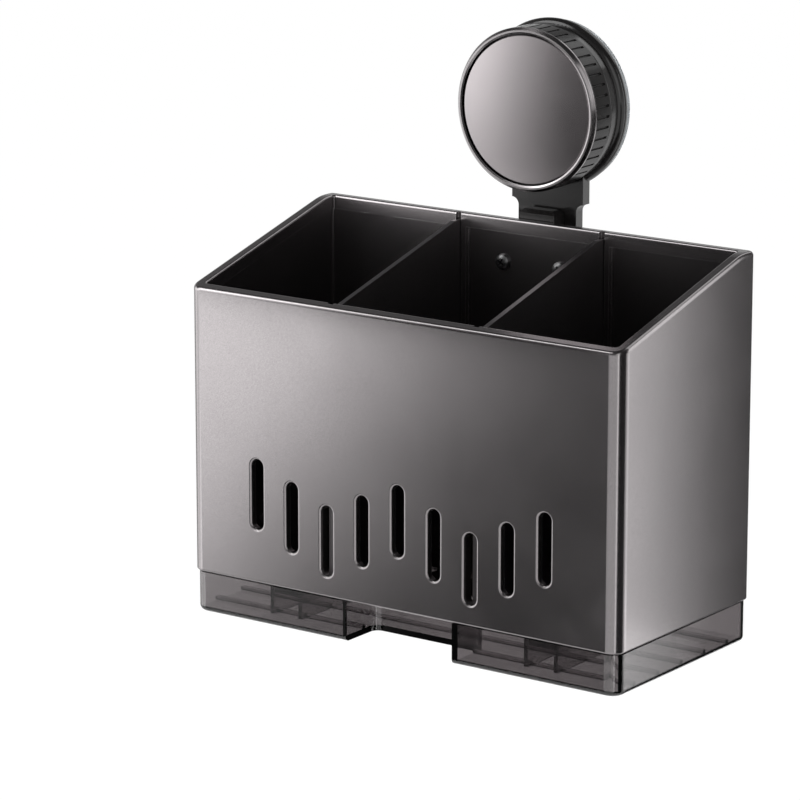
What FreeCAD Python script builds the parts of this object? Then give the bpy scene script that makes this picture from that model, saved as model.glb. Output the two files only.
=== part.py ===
import FreeCAD, Part
import math
import os

V = FreeCAD.Vector

# Wall-mounted utensil holder, sizes in millimetres.
# The origin is the centre of the suction pad's wall face. X runs along the wall, +Y into it and
# +Z up, so the holder stands in front of the wall and its front faces -Y.

# Shared clearances and cutting allowance
overrun = 5.0
running_gap = 0.3
seat_gap = 0.05
tolerance = 0.001
arc_middle_share = 1 - math.sqrt(1 / 2)
rim_top_share = 0.9

# Where the caddy hangs
wall_gap = 14.0
rim_below_housing = 11.8

# Caddy shell
caddy_width = 180.0
caddy_depth = 84.0
caddy_front_height = 102.9
caddy_back_height = 123.3
caddy_front_radius = 5.0
caddy_back_radius = 2.4
caddy_inner_radius = 1.2
caddy_wall = 2.8
caddy_floor = 2.6
caddy_foot_radius = 0.8
rim_width = 4.4
rim_height = 5.0
rim_level = 8.0
rim_bend = 3.0
rim_outer_radius = 1.5
rim_inner_radius = 0.8

# Slots in the front, each a share of steps above the lowest
slot_width = 5.0
slot_length = 25.2
slot_pitch = 15.1
slot_low = 7.4
slot_step = 6.0
slot_mouth_radius = 0.9
slot_step_shares = (2, 1, 0, 1, 2, 1, 0, 1, 2)

# Drain holes in the floor, placed in pitches from each compartment's own line
drain_radius = 3.0
drain_pitch = 16.0
drain_row_pitch = 21.0
drain_rows = 3
side_drain_shares = (-1, 1)
middle_drain_shares = (-1, 0, 1)

# Dividers and the ribs that guide them
divider_offset = 30.3
divider_thickness = 1.8
divider_drop = 2.6
guide_rib_width = 2.0

# Screws
screw_radius = 1.5
screw_head_radius = 2.9
screw_head_height = 1.8
screw_head_bevel = 0.6

# Hanger receiver on the caddy's back
receiver_width = 14.6
receiver_rise = 3.5
receiver_bevel = 1.4
receiver_plate = 1.8
receiver_bar = 2.0
receiver_roof = 3.2
receiver_skirt = 14.0
receiver_ear_width = 9.5
receiver_ear_height = 15.0
receiver_ear_thickness = 5.5
receiver_ear_drop = 12.0
receiver_screw_length = 7.2

# Hook and neck of the wall mount
hook_width = 9.4
hook_lip = 2.1
hook_engagement = 5.0
hook_floor = 4.0
hook_round = 1.0
neck_width = 24.4
neck_thickness = 4.2
neck_flare = 2.8
neck_flare_below_housing = 6.0

# Pressure housing
housing_radius = 28.4
housing_depth = 10.0
housing_wall = 2.6
housing_edge = 1.0
housing_bead_radius = 2.6
housing_bead_stand = 1.9

# Suction pad and stud
pad_setback = 0.7
pad_edge = 1.0
pad_flat_width = 5.0
pad_middle = 2.4
pad_boss_radius = 8.5
pad_boss_height = 5.2
stud_radius = 4.0
stud_flange_radius = 6.0
stud_flange_height = 1.6
stud_flange_depth = 1.2
stud_length = 15.8
stud_tip_bevel = 0.6

# Knob
knob_radius = 29.0
knob_length = 9.0
knob_flange = 1.1
knob_wall = 3.2
knob_web = 2.4
knob_hub_radius = 10.5
knob_groove_count = 48
knob_groove_depth = 0.55
knob_groove_share = 0.24
washer_thickness = 1.2
washer_rim = 0.6
nut_radius = 7.4
nut_sides = 6
nut_thickness = 5.0
bezel_width = 2.2
bezel_ledge = 1.4
bezel_seat_depth = 0.6
bezel_bevel = 1.0
bezel_inner_bevel = 0.6
bezel_inner_drop = 0.25
bezel_land = 0.6
face_gap = 0.5
face_thickness = 1.5
face_bevel = 0.3
face_crown = 0.8

# Tray runners
runner_inset = 36.0
runner_stem_width = 5.4
runner_stem_height = 3.2
runner_foot_width = 10.0
runner_foot_height = 2.0
runner_front_setback = 9.0
runner_back_setback = 8.0
runner_screw_setback = 14.0
runner_screw_length = 7.0

# Drip tray
tray_inset = 0.6
tray_height = 14.6
tray_gap = 0.4
tray_wall = 1.8
tray_floor = 1.8
tray_front_radius = 5.2
tray_back_radius = 2.8
tray_inner_radius = 1.8
tray_edge_radius = 2.0
notch_width = 45.0
notch_depth = 18.0
notch_corner_radius = 3.0
tray_rib_count = 5
tray_rib_pitch = 14.8
tray_rib_width = 1.8
tray_rib_height = 1.2
tray_guide_wall = 1.6

# Rear bumpers
bumper_inset = 18.0
bumper_height = 15.0
bumper_base_radius = 7.0
bumper_tip_radius = 5.5
bumper_stem_radius = 2.5
bumper_head_radius = 3.6
bumper_head_thickness = 1.4

# Places that follow from the sizes
half_width = caddy_width / 2
back_y = -wall_gap
front_y = back_y - caddy_depth
middle_y = (front_y + back_y) / 2
back_rim_z = -(housing_radius + rim_below_housing)
floor_z = back_rim_z - caddy_back_height
front_rim_z = floor_z + caddy_front_height
level_y = back_y - rim_level
rim_slope = (back_rim_z - front_rim_z) / (level_y - front_y)
inner_floor_z = floor_z + caddy_floor
inner_front_y = front_y + caddy_wall
inner_back_y = back_y - caddy_wall
groove_depth = rim_width - caddy_wall
groove_half = divider_thickness / 2 + running_gap

lip_front_y = back_y + receiver_plate + running_gap
lip_back_y = lip_front_y + hook_lip
bar_front_y = lip_back_y + running_gap
bar_back_y = bar_front_y + receiver_bar
neck_front_y = bar_back_y + running_gap
receiver_top_z = back_rim_z + receiver_rise
lip_top_z = receiver_top_z - receiver_roof - running_gap
bar_bottom_z = lip_top_z - hook_engagement
hook_floor_z = bar_bottom_z - running_gap
hook_bottom_z = hook_floor_z - hook_floor
receiver_bottom_z = bar_bottom_z - receiver_skirt
ear_offset = (receiver_width + receiver_ear_width) / 2
ear_top_z = receiver_top_z - receiver_ear_drop
ear_screw_z = ear_top_z - receiver_ear_height / 2

housing_bead_reach = housing_radius + housing_bead_stand
pad_radius = housing_bead_reach - pad_setback
housing_front_y = -(pad_edge + housing_depth)
knob_rear_y = housing_front_y - running_gap
hub_rear_y = housing_front_y - washer_thickness - 2 * seat_gap
knob_front_y = knob_rear_y - knob_length
web_front_y = knob_front_y + bezel_seat_depth
web_rear_y = web_front_y + knob_web
bezel_inner_radius = knob_radius - bezel_width
bezel_ledge_radius = knob_radius - bezel_ledge

tray_top_z = floor_z - tray_gap
tray_bottom_z = tray_top_z - tray_height
tray_floor_z = tray_bottom_z + tray_floor
tray_half_width = half_width - tray_inset
tray_front_y = front_y + tray_inset
tray_back_y = back_y - tray_inset
runner_offset = half_width - runner_inset
foot_top_z = floor_z - runner_stem_height
foot_bottom_z = foot_top_z - runner_foot_height
runner_front_y = front_y + runner_front_setback
runner_back_y = back_y - runner_back_setback
runner_screw_places = (runner_front_y + runner_screw_setback, runner_back_y - runner_screw_setback)
bumper_offset = half_width - bumper_inset
bumper_z = floor_z + bumper_height
sides = {"left": -1, "right": 1}


def block(x0, x1, y0, y1, z0, z1):
    """Box between two corners."""
    return Part.makeBox(x1 - x0, y1 - y0, z1 - z0, V(x0, y0, z0))


def rod(radius, start, end):
    """Round bar between two points."""
    run = end.sub(start)
    return Part.makeCylinder(radius, run.Length, start, run)


def rounded_block(x0, x1, y0, y1, z0, z1, front_radius, back_radius):
    """Box whose upright edges are rounded, the front pair and the back pair each in its own way."""
    shape = block(x0, x1, y0, y1, z0, z1)
    for radius, y in ((front_radius, y0), (back_radius, y1)):
        corners = [edge for edge in shape.Edges
                   if is_upright(edge) and abs(edge.BoundBox.Center.y - y) < tolerance]
        shape = shape.makeFillet(radius, corners)
    return shape


def is_upright(edge):
    """True for a straight edge along Z."""
    run = edge.Vertexes[-1].Point.sub(edge.Vertexes[0].Point)
    return math.hypot(run.x, run.y) < tolerance < abs(run.z)


def edges_at_height(shape, z):
    """Edges that lie flat at the height z."""
    return [edge for edge in shape.Edges
            if abs(edge.BoundBox.ZMin - z) < tolerance and abs(edge.BoundBox.ZMax - z) < tolerance]


def outline(place, steps):
    """Closed wire: a point draws a line to it, a pair draws an arc through its first point."""
    edges = []
    here = steps[0]
    for step in steps[1:]:
        if isinstance(step[0], tuple):
            via, end = step
            edges.append(Part.Arc(place(*here), place(*via), place(*end)).toShape())
        else:
            end = step
            edges.append(Part.LineSegment(place(*here), place(*end)).toShape())
        here = end
    if math.dist(here, steps[0]) > tolerance:
        edges.append(Part.LineSegment(place(*here), place(*steps[0])).toShape())
    return Part.Wire(edges)


def turned(steps):
    """Solid of revolution about the suction axis from radius and depth steps."""
    wire = outline(lambda r, y: V(r, y, 0), steps)
    return Part.Face(wire).revolve(V(0, 0, 0), V(0, 1, 0), math.degrees(2 * math.pi))


def across(width, steps):
    """Prism of a side profile in Y and Z steps, centred on X."""
    wire = outline(lambda y, z: V(-width / 2, y, z), steps)
    return Part.Face(wire).extrude(V(width, 0, 0))


def rim_z(y):
    """Height of the rim above a depth y: a slope up to the level strip along the back."""
    return front_rim_z + (min(y, level_y) - front_y) * rim_slope


def under_rim(drop):
    """All the space of the caddy below the rim lowered by drop, with a soft bend in its slope."""
    near = front_y - overrun
    far = back_y + overrun
    low = floor_z - overrun
    top = back_rim_z - drop
    angle = math.atan(rim_slope)
    rise = rim_bend * (1 / math.sin(angle / 2) - 1 / math.tan(angle / 2))
    bend_start = (level_y - rim_bend * math.cos(angle), top - rim_bend * math.sin(angle))
    bend_middle = (level_y + rise * math.sin(angle / 2), top - rise * math.cos(angle / 2))
    return across(caddy_width + overrun, [
        (near, low), (far, low), (far, top), (level_y + rim_bend, top), (bend_middle, bend_start),
        (near, rim_z(near) - drop)])


def caddy_plan(inset, z0, z1, front_radius, back_radius):
    """Rounded column with the caddy's plan, drawn in by inset."""
    return rounded_block(-half_width + inset, half_width - inset, front_y + inset, back_y - inset,
                         z0, z1, front_radius, back_radius)


def obround(x, y, low, width, length):
    """Upright slot outline in the plane at y."""
    radius = width / 2
    bottom = low + radius
    top = low + length - radius
    return outline(lambda along, height: V(x + along, y, height), [
        (radius, bottom), (radius, top), ((0, low + length), (-radius, top)),
        (-radius, bottom), ((0, low), (radius, bottom))])


def slot_cutters():
    """Slots through the front wall, one tool for each step in the row."""
    tools = []
    first = -slot_pitch * (len(slot_step_shares) - 1) / 2
    for place, share in enumerate(slot_step_shares):
        x = first + place * slot_pitch
        low = floor_z + slot_low + share * slot_step
        through = Part.Face(obround(x, front_y - overrun, low, slot_width, slot_length))
        tools.append(through.extrude(V(0, overrun + rim_width + running_gap, 0)))
    return tools


def mouth_edges(body):
    """Edges where the slots break through the flat of the front."""
    reach = half_width - caddy_front_radius - tolerance
    flat = [edge for edge in body.Edges
            if max(abs(edge.BoundBox.YMin - front_y), abs(edge.BoundBox.YMax - front_y)) < tolerance]
    return [edge for edge in flat if max(-edge.BoundBox.XMin, edge.BoundBox.XMax) < reach]


def drain_cutters():
    """Round drain holes through the floor of the three compartments."""
    lines = [share * drain_pitch for share in middle_drain_shares]
    for side in sides.values():
        lines += [side * (runner_offset - share * drain_pitch) for share in side_drain_shares]
    first = middle_y - drain_row_pitch * (drain_rows - 1) / 2
    return [rod(drain_radius, V(x, first + row * drain_row_pitch, floor_z - overrun),
                V(x, first + row * drain_row_pitch, inner_floor_z + overrun))
            for x in lines for row in range(drain_rows)]


def guide_ribs():
    """Pairs of ribs on the front and back walls, still solid between them."""
    half = groove_half + guide_rib_width
    ribs = []
    for side in sides.values():
        x = side * divider_offset
        for y0, y1 in ((inner_front_y, inner_front_y + groove_depth),
                       (inner_back_y - groove_depth, inner_back_y)):
            column = block(x - half, x + half, y0, y1, floor_z + caddy_floor / 2, back_rim_z)
            ribs.append(column.common(under_rim(rim_height / 2)))
    return ribs


def groove_cutters():
    """Grooves that the dividers slide down, open through the rim."""
    return [block(side * divider_offset - groove_half, side * divider_offset + groove_half,
                  inner_front_y, inner_back_y, inner_floor_z, back_rim_z + overrun)
            for side in sides.values()]


def fastener_cutters():
    """Holes for the receiver's screws, the runners' screws and the bumpers' stems."""
    tools = []
    for side in sides.values():
        tools.append(rod(screw_radius + seat_gap, V(side * ear_offset, inner_back_y - overrun, ear_screw_z),
                         V(side * ear_offset, back_y + overrun, ear_screw_z)))
        tools.append(rod(bumper_stem_radius + seat_gap,
                         V(side * bumper_offset, inner_back_y - overrun, bumper_z),
                         V(side * bumper_offset, back_y + overrun, bumper_z)))
        for y in runner_screw_places:
            tools.append(rod(screw_radius + seat_gap, V(side * runner_offset, y, floor_z - overrun),
                             V(side * runner_offset, y, inner_floor_z + overrun)))
    return tools


def rim_edges(body, is_outer):
    """Edges that bound the top of the rim, either round the outside or round the mouth."""
    tops = [face for face in body.Faces
            if face.BoundBox.ZMin > front_rim_z - rim_height / 2 and face.CenterOfMass.z > front_rim_z
            and face.normalAt(*face.Surface.parameter(face.CenterOfMass)).z > rim_top_share]
    shared = [edge.hashCode() for face in tops for edge in face.Edges]
    bounds = [edge for face in tops for edge in face.Edges if shared.count(edge.hashCode()) == 1]
    return [edge for edge in bounds if is_outer == (edge_inset(edge) < rim_width / 2)]


def edge_inset(edge):
    """How far the middle of an edge lies inside the caddy's plan."""
    middle = edge.valueAt((edge.FirstParameter + edge.LastParameter) / 2)
    return min(half_width - abs(middle.x), middle.y - front_y, back_y - middle.y)


def caddy_shell():
    """Moulded shell: sloped box with a thick rolled-in rim, slots, grooves and drained floor."""
    body = caddy_plan(0, floor_z, back_rim_z + overrun, caddy_front_radius, caddy_back_radius)
    body = body.makeFillet(caddy_foot_radius, edges_at_height(body, floor_z))
    body = body.common(under_rim(0))
    hollow, mouth = (caddy_plan(inset, inner_floor_z, back_rim_z + overrun,
                                caddy_inner_radius, caddy_inner_radius) for inset in (caddy_wall, rim_width))
    body = body.cut(hollow.common(under_rim(rim_height)).fuse(mouth))
    body = body.makeFillet(rim_outer_radius, rim_edges(body, True))
    body = body.makeFillet(rim_inner_radius, rim_edges(body, False))
    body = body.fuse(guide_ribs())
    cutters = groove_cutters() + slot_cutters() + drain_cutters() + fastener_cutters()
    body = body.cut(cutters).removeSplitter()
    return body.makeFillet(slot_mouth_radius, mouth_edges(body))


def divider(side):
    """Partition plate that drops into a pair of grooves and follows the slope of the rim."""
    x = side * divider_offset
    near = inner_front_y + running_gap
    far = inner_back_y - running_gap
    plate = across(divider_thickness, [
        (near, inner_floor_z + running_gap), (far, inner_floor_z + running_gap),
        (far, rim_z(far) - divider_drop), (level_y, rim_z(level_y) - divider_drop),
        (near, rim_z(near) - divider_drop)])
    plate.translate(V(x, 0, 0))
    return plate


def screw(seat, direction, length):
    """Pan-head screw whose head bears on seat and whose shank runs along direction."""
    back = direction * -1
    straight = screw_head_height - screw_head_bevel
    head = Part.makeCylinder(screw_head_radius, straight, seat, back)
    crown = Part.makeCone(screw_head_radius, screw_head_radius - screw_head_bevel, screw_head_bevel,
                          seat + back * straight, back)
    shank = Part.makeCylinder(screw_radius, length, seat, direction)
    return head.fuse([crown, shank]).removeSplitter()


def hanger_receiver():
    """Socket on the back of the caddy, closed at the top, that drops over the hook's lip."""
    half = receiver_width / 2
    body = block(-half, half, back_y, bar_back_y, bar_bottom_z, receiver_top_z)
    body = body.makeChamfer(receiver_bevel, edges_at_height(body, receiver_top_z))
    plate = block(-half, half, back_y, back_y + receiver_plate, receiver_bottom_z, bar_bottom_z)
    ears = [block(min(side * half, side * (half + receiver_ear_width)),
                  max(side * half, side * (half + receiver_ear_width)),
                  back_y, back_y + receiver_ear_thickness, ear_top_z - receiver_ear_height, ear_top_z)
            for side in sides.values()]
    pocket_half = hook_width / 2 + running_gap
    pocket = block(-pocket_half, pocket_half, back_y + receiver_plate, bar_front_y,
                   bar_bottom_z - overrun, lip_top_z + running_gap)
    holes = [rod(screw_radius, V(side * ear_offset, back_y - overrun, ear_screw_z),
                 V(side * ear_offset, inner_back_y + receiver_screw_length, ear_screw_z))
             for side in sides.values()]
    return body.fuse([plate] + ears).cut([pocket] + holes).removeSplitter()


def receiver_screws():
    """Two screws from inside the caddy into the receiver's ears."""
    return Part.makeCompound([screw(V(side * ear_offset, inner_back_y, ear_screw_z), V(0, 1, 0),
                                    receiver_screw_length) for side in sides.values()])


def neck():
    """Neck below the housing, flared at its root, with the up-turned hook at its foot."""
    half = neck_width / 2
    wide = half + neck_flare
    flare_z = -(housing_radius + neck_flare_below_housing)
    waist_z = flare_z - neck_flare
    bend = neck_flare * arc_middle_share
    root_z = -math.sqrt(housing_radius ** 2 - wide ** 2) + housing_wall
    plate = Part.Face(outline(lambda x, z: V(x, neck_front_y, z), [
        (-wide, root_z), (-wide, flare_z), ((-half - bend, flare_z - bend), (-half, waist_z)),
        (-half, hook_bottom_z), (half, hook_bottom_z), (half, waist_z),
        ((half + bend, flare_z - bend), (wide, flare_z)), (wide, root_z)]))
    plate = plate.extrude(V(0, neck_thickness, 0))
    corner = hook_round * arc_middle_share
    root_y = neck_front_y + neck_thickness / 2
    hook = across(hook_width, [
        (root_y, hook_bottom_z), (root_y, hook_floor_z), (lip_back_y, hook_floor_z),
        (lip_back_y, lip_top_z), (lip_front_y + hook_round, lip_top_z),
        ((lip_front_y + corner, lip_top_z - corner), (lip_front_y, lip_top_z - hook_round)),
        (lip_front_y, hook_bottom_z + hook_round),
        ((lip_front_y + corner, hook_bottom_z + corner), (lip_front_y + hook_round, hook_bottom_z))])
    return plate.fuse(hook)


def mount_housing():
    """Pressure cup with a rounded bead round its rim, the neck and the hook."""
    rear_y = -pad_edge
    bore = stud_radius + running_gap
    cavity = housing_radius - housing_wall
    bead_centre = housing_bead_reach - housing_bead_radius
    bead_y = rear_y - housing_bead_radius
    shoulder_y = bead_y - math.sqrt(housing_bead_radius ** 2 - (housing_radius - bead_centre) ** 2)
    corner = housing_edge * arc_middle_share
    cup = turned([
        (bore, housing_front_y), (housing_radius - housing_edge, housing_front_y),
        ((housing_radius - corner, housing_front_y + corner),
         (housing_radius, housing_front_y + housing_edge)),
        (housing_radius, shoulder_y), ((housing_bead_reach, bead_y), (bead_centre, rear_y)),
        (cavity, rear_y), (cavity, housing_front_y + housing_wall), (bore, housing_front_y + housing_wall)])
    hollow = rod(cavity, V(0, housing_front_y + housing_wall, 0), V(0, 0, 0))
    return cup.fuse(neck().cut(hollow)).removeSplitter()


def pad_stud():
    """Threaded stud with the flange that the pad's boss holds."""
    base_y = -stud_flange_depth
    flange_y = base_y - stud_flange_height
    tip_y = base_y - stud_length
    return turned([
        (0, base_y), (stud_flange_radius, base_y), (stud_flange_radius, flange_y), (stud_radius, flange_y),
        (stud_radius, tip_y + stud_tip_bevel), (stud_radius - stud_tip_bevel, tip_y), (0, tip_y)])


def suction_pad():
    """Soft disc with a thin rim that the housing presses on, and a boss round the stud's flange."""
    inner = pad_radius - pad_flat_width
    disc = turned([
        (0, 0), (pad_radius, 0), (pad_radius, -pad_edge), (inner, -pad_edge),
        (pad_boss_radius, -pad_middle), (pad_boss_radius, -pad_boss_height), (0, -pad_boss_height)])
    return disc.cut(pad_stud())


def thrust_washer():
    """Slip washer that the knob's hub bears on."""
    front_y = hub_rear_y + seat_gap
    rear_y = front_y + washer_thickness
    inner = stud_radius + running_gap
    outer = knob_hub_radius - washer_rim
    return turned([(inner, front_y), (outer, front_y), (outer, rear_y), (inner, rear_y)])


def hexagon(radius, near_y, far_y):
    """Six-sided prism about the suction axis."""
    corners = []
    for place in range(nut_sides):
        angle = 2 * math.pi * place / nut_sides
        corners.append((radius * math.cos(angle), radius * math.sin(angle)))
    wire = outline(lambda x, z: V(x, near_y, z), corners)
    return Part.Face(wire).extrude(V(0, far_y - near_y, 0))


def knob_nut():
    """Threaded insert in the hub, shown with its plain bore."""
    front_y = hub_rear_y - nut_thickness
    body = hexagon(nut_radius, front_y, hub_rear_y)
    return body.cut(rod(stud_radius + seat_gap, V(0, front_y - overrun, 0), V(0, hub_rear_y + overrun, 0)))


def grooved_outline(y):
    """Knob section: broad lands parted by hollow grooves."""
    step = 2 * math.pi / knob_groove_count
    groove = step * knob_groove_share
    land = step - groove

    def at(radius, angle):
        return (radius * math.cos(angle), radius * math.sin(angle))

    steps = [at(knob_radius, 0)]
    for place in range(knob_groove_count):
        start = place * step
        steps.append((at(knob_radius, start + land / 2), at(knob_radius, start + land)))
        floor = at(knob_radius - knob_groove_depth, start + land + groove / 2)
        steps.append((floor, at(knob_radius, start + step)))
    return outline(lambda x, z: V(x, y, z), steps)


def knob_grip():
    """Ribbed knob body with a plain flange at the back, a front seat and a hub for the nut."""
    ribbed = Part.Face(grooved_outline(knob_front_y)).extrude(V(0, knob_length - knob_flange, 0))
    flange = rod(knob_radius, V(0, knob_rear_y - knob_flange, 0), V(0, knob_rear_y, 0))
    hollow = turned([
        (0, knob_rear_y + overrun), (0, hub_rear_y), (knob_hub_radius, hub_rear_y),
        (knob_hub_radius, web_rear_y), (knob_radius - knob_wall, web_rear_y),
        (knob_radius - knob_wall, knob_rear_y + overrun)])
    seat = rod(bezel_ledge_radius, V(0, knob_front_y - overrun, 0), V(0, web_front_y, 0))
    pocket = hexagon(nut_radius + seat_gap, hub_rear_y - nut_thickness, hub_rear_y + overrun)
    return ribbed.fuse(flange).cut([hollow, seat, pocket]).removeSplitter()


def knob_bezel():
    """Ring round the face, bevelled outside and inside, stepped over the front edge of the knob."""
    land_y = knob_front_y - bezel_land
    crest_y = land_y - bezel_bevel
    return turned([
        (bezel_inner_radius, web_front_y), (bezel_ledge_radius, web_front_y),
        (bezel_ledge_radius, knob_front_y), (knob_radius, knob_front_y), (knob_radius, land_y),
        (knob_radius - bezel_bevel, crest_y), (bezel_inner_radius + bezel_inner_bevel, crest_y),
        (bezel_inner_radius, crest_y + bezel_inner_drop)])


def knob_face():
    """Crowned face disc set inside the bezel, with a fine bevel at its edge."""
    radius = bezel_inner_radius - face_gap
    top_y = web_front_y - face_thickness
    cap_radius = radius - face_bevel
    sphere = (cap_radius ** 2 + face_crown ** 2) / (2 * face_crown)
    tip_y = top_y - face_crown
    blank = turned([
        (0, web_front_y), (radius, web_front_y), (radius, top_y + face_bevel),
        (cap_radius - face_crown - overrun, tip_y - overrun), (0, tip_y - overrun)])
    return blank.common(Part.makeSphere(sphere, V(0, tip_y + sphere, 0)))


def runner(side):
    """T-section rail under the floor that the tray's hooked guides slide on."""
    x = side * runner_offset
    stem_half = runner_stem_width / 2
    foot_half = runner_foot_width / 2
    section = outline(lambda along, z: V(x + along, runner_front_y, z), [
        (-stem_half, floor_z), (-stem_half, foot_top_z), (-foot_half, foot_top_z),
        (-foot_half, foot_bottom_z), (foot_half, foot_bottom_z), (foot_half, foot_top_z),
        (stem_half, foot_top_z), (stem_half, floor_z)])
    bar = Part.Face(section).extrude(V(0, runner_back_y - runner_front_y, 0))
    holes = [rod(screw_radius, V(x, y, inner_floor_z - runner_screw_length), V(x, y, floor_z + overrun))
             for y in runner_screw_places]
    return bar.cut(holes)


def runner_screws():
    """Four screws from inside the caddy, through its floor and into the runners."""
    return Part.makeCompound([screw(V(side * runner_offset, y, inner_floor_z), V(0, 0, -1),
                                    runner_screw_length)
                              for side in sides.values() for y in runner_screw_places])


def notch_block(grow, low, high):
    """Finger notch as a solid, grown by the wall that lines it."""
    half = notch_width / 2 + grow
    return rounded_block(-half, half, tray_front_y - overrun, tray_front_y + notch_depth + grow, low, high,
                         notch_corner_radius + grow, notch_corner_radius + grow)


def tray_guides(side):
    """Pair of upstanding guides whose lips hook over a runner's foot."""
    x = side * runner_offset
    inner = runner_foot_width / 2 + running_gap
    outer = inner + tray_guide_wall
    lip = runner_stem_width / 2 + running_gap
    far_y = tray_back_y - tray_wall / 2
    pieces = []
    for hand in sides.values():
        wall = sorted((x + hand * inner, x + hand * outer))
        hook = sorted((x + hand * lip, x + hand * outer))
        pieces.append(block(*wall, runner_front_y, far_y, tray_floor_z - tray_floor / 2, tray_top_z))
        pieces.append(block(*hook, runner_front_y, far_y, foot_top_z + running_gap, tray_top_z))
    return pieces


def tray_ribs():
    """Low ribs across the tray's floor, cut round the finger notch."""
    half = tray_half_width - tray_wall / 2
    first = middle_y - tray_rib_pitch * (tray_rib_count - 1) / 2
    notch = notch_block(tray_wall / 2, tray_bottom_z - overrun, tray_top_z + overrun)
    ribs = []
    for place in range(tray_rib_count):
        y = first + place * tray_rib_pitch
        rib = block(-half, half, y - tray_rib_width / 2, y + tray_rib_width / 2,
                    tray_floor_z - tray_floor / 2, tray_floor_z + tray_rib_height)
        ribs.append(rib.cut(notch))
    return ribs


def drip_tray():
    """Clear tray with a finger notch in its front, ribbed floor and guides for the runners."""
    body = rounded_block(-tray_half_width, tray_half_width, tray_front_y, tray_back_y,
                         tray_bottom_z, tray_top_z, tray_front_radius, tray_back_radius)
    body = body.makeFillet(tray_edge_radius, edges_at_height(body, tray_bottom_z))
    body = body.cut(notch_block(0, tray_bottom_z - overrun, tray_top_z + overrun))
    hollow = rounded_block(-tray_half_width + tray_wall, tray_half_width - tray_wall,
                           tray_front_y + tray_wall, tray_back_y - tray_wall,
                           tray_floor_z, tray_top_z + overrun, tray_inner_radius, tray_inner_radius)
    body = body.cut(hollow.cut(notch_block(tray_wall, tray_bottom_z - overrun, tray_top_z + 2 * overrun)))
    guides = [piece for side in sides.values() for piece in tray_guides(side)]
    body = body.fuse(tray_ribs() + guides)
    clear = runner_foot_width / 2 + running_gap
    gates = [block(side * runner_offset - clear, side * runner_offset + clear, tray_back_y - tray_wall,
                   tray_back_y + overrun, foot_bottom_z - running_gap, foot_top_z + running_gap)
             for side in sides.values()]
    slit = runner_stem_width / 2 + running_gap
    gates += [block(side * runner_offset - slit, side * runner_offset + slit, tray_back_y - tray_wall,
                    tray_back_y + overrun, foot_top_z, tray_top_z + overrun) for side in sides.values()]
    return body.cut(gates).removeSplitter()


def bumper(side):
    """Push-in rubber stand-off: foot on the wall, stem through the shell, head inside."""
    x = side * bumper_offset
    foot = Part.makeCone(bumper_base_radius, bumper_tip_radius, wall_gap, V(x, back_y, bumper_z), V(0, 1, 0))
    stem = rod(bumper_stem_radius, V(x, inner_back_y, bumper_z), V(x, back_y, bumper_z))
    head = rod(bumper_head_radius, V(x, inner_back_y - bumper_head_thickness, bumper_z),
               V(x, inner_back_y, bumper_z))
    return foot.fuse([stem, head]).removeSplitter()


def all_nodes():
    """Every piece of the holder under its own name."""
    nodes = {
        "suction_pad": suction_pad(),
        "pad_stud": pad_stud(),
        "mount_housing": mount_housing(),
        "thrust_washer": thrust_washer(),
        "knob_grip": knob_grip(),
        "knob_nut": knob_nut(),
        "knob_bezel": knob_bezel(),
        "knob_face": knob_face(),
        "caddy_shell": caddy_shell(),
        "hanger_receiver": hanger_receiver(),
        "receiver_screws": receiver_screws(),
        "runner_screws": runner_screws(),
        "drip_tray": drip_tray(),
    }
    for name, side in sides.items():
        nodes[name + "_divider"] = divider(side)
        nodes[name + "_runner"] = runner(side)
        nodes[name + "_bumper"] = bumper(side)
    return nodes


os.makedirs("parts", exist_ok=True)
for name, shape in all_nodes().items():
    shape.exportStep(os.path.join("parts", name + ".step"))
    state = "valid" if shape.isValid() else "INVALID"
    print(name, state, len(shape.Solids), "solids", round(shape.Volume, 1), "mm3")
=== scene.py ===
"""Wall-mounted utensil holder: finishes, fine pieces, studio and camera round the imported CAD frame."""

import logging
import math
from collections.abc import Sequence
from dataclasses import asdict, dataclass
from enum import Enum
from functools import cache
from typing import NamedTuple

import bmesh
import bpy
from mathutils import Matrix, Vector


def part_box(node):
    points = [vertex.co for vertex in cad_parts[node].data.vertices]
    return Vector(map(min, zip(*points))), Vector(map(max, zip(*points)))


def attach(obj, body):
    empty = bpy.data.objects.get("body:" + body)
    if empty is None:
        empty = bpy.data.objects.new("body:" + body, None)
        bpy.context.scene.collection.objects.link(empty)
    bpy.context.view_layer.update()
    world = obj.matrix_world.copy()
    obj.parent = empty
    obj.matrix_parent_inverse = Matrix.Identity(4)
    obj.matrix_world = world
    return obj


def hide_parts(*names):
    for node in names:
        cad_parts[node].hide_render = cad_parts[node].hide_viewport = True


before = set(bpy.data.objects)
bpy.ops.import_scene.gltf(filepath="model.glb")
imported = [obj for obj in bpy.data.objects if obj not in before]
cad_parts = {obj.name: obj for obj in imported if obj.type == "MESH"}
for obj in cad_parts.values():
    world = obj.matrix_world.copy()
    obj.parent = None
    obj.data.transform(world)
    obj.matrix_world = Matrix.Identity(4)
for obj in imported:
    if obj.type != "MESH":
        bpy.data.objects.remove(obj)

LOG = logging.getLogger("utensil_holder")
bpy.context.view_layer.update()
MM = 0.001
QUARTER_TURN = math.pi / 2

Colour = tuple[float, float, float]
Place = tuple[float, float, float]
Pair = tuple[float, float]
Point = tuple[float, float]
BMesh = bmesh.types.BMesh
Material = bpy.types.Material
Node = bpy.types.Node
Object = bpy.types.Object
Socket = bpy.types.NodeSocket
Tree = bpy.types.NodeTree


# Shared shader effects

class Effect(Enum):
    """Surface effects that several finishes share."""

    FLAKE = "pearl_flake"
    GRAIN = "mould_grain"
    EDGE = "edge_rub"
    HANDLING = "handling_marks"
    TURNED = "turned_lines"


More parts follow.
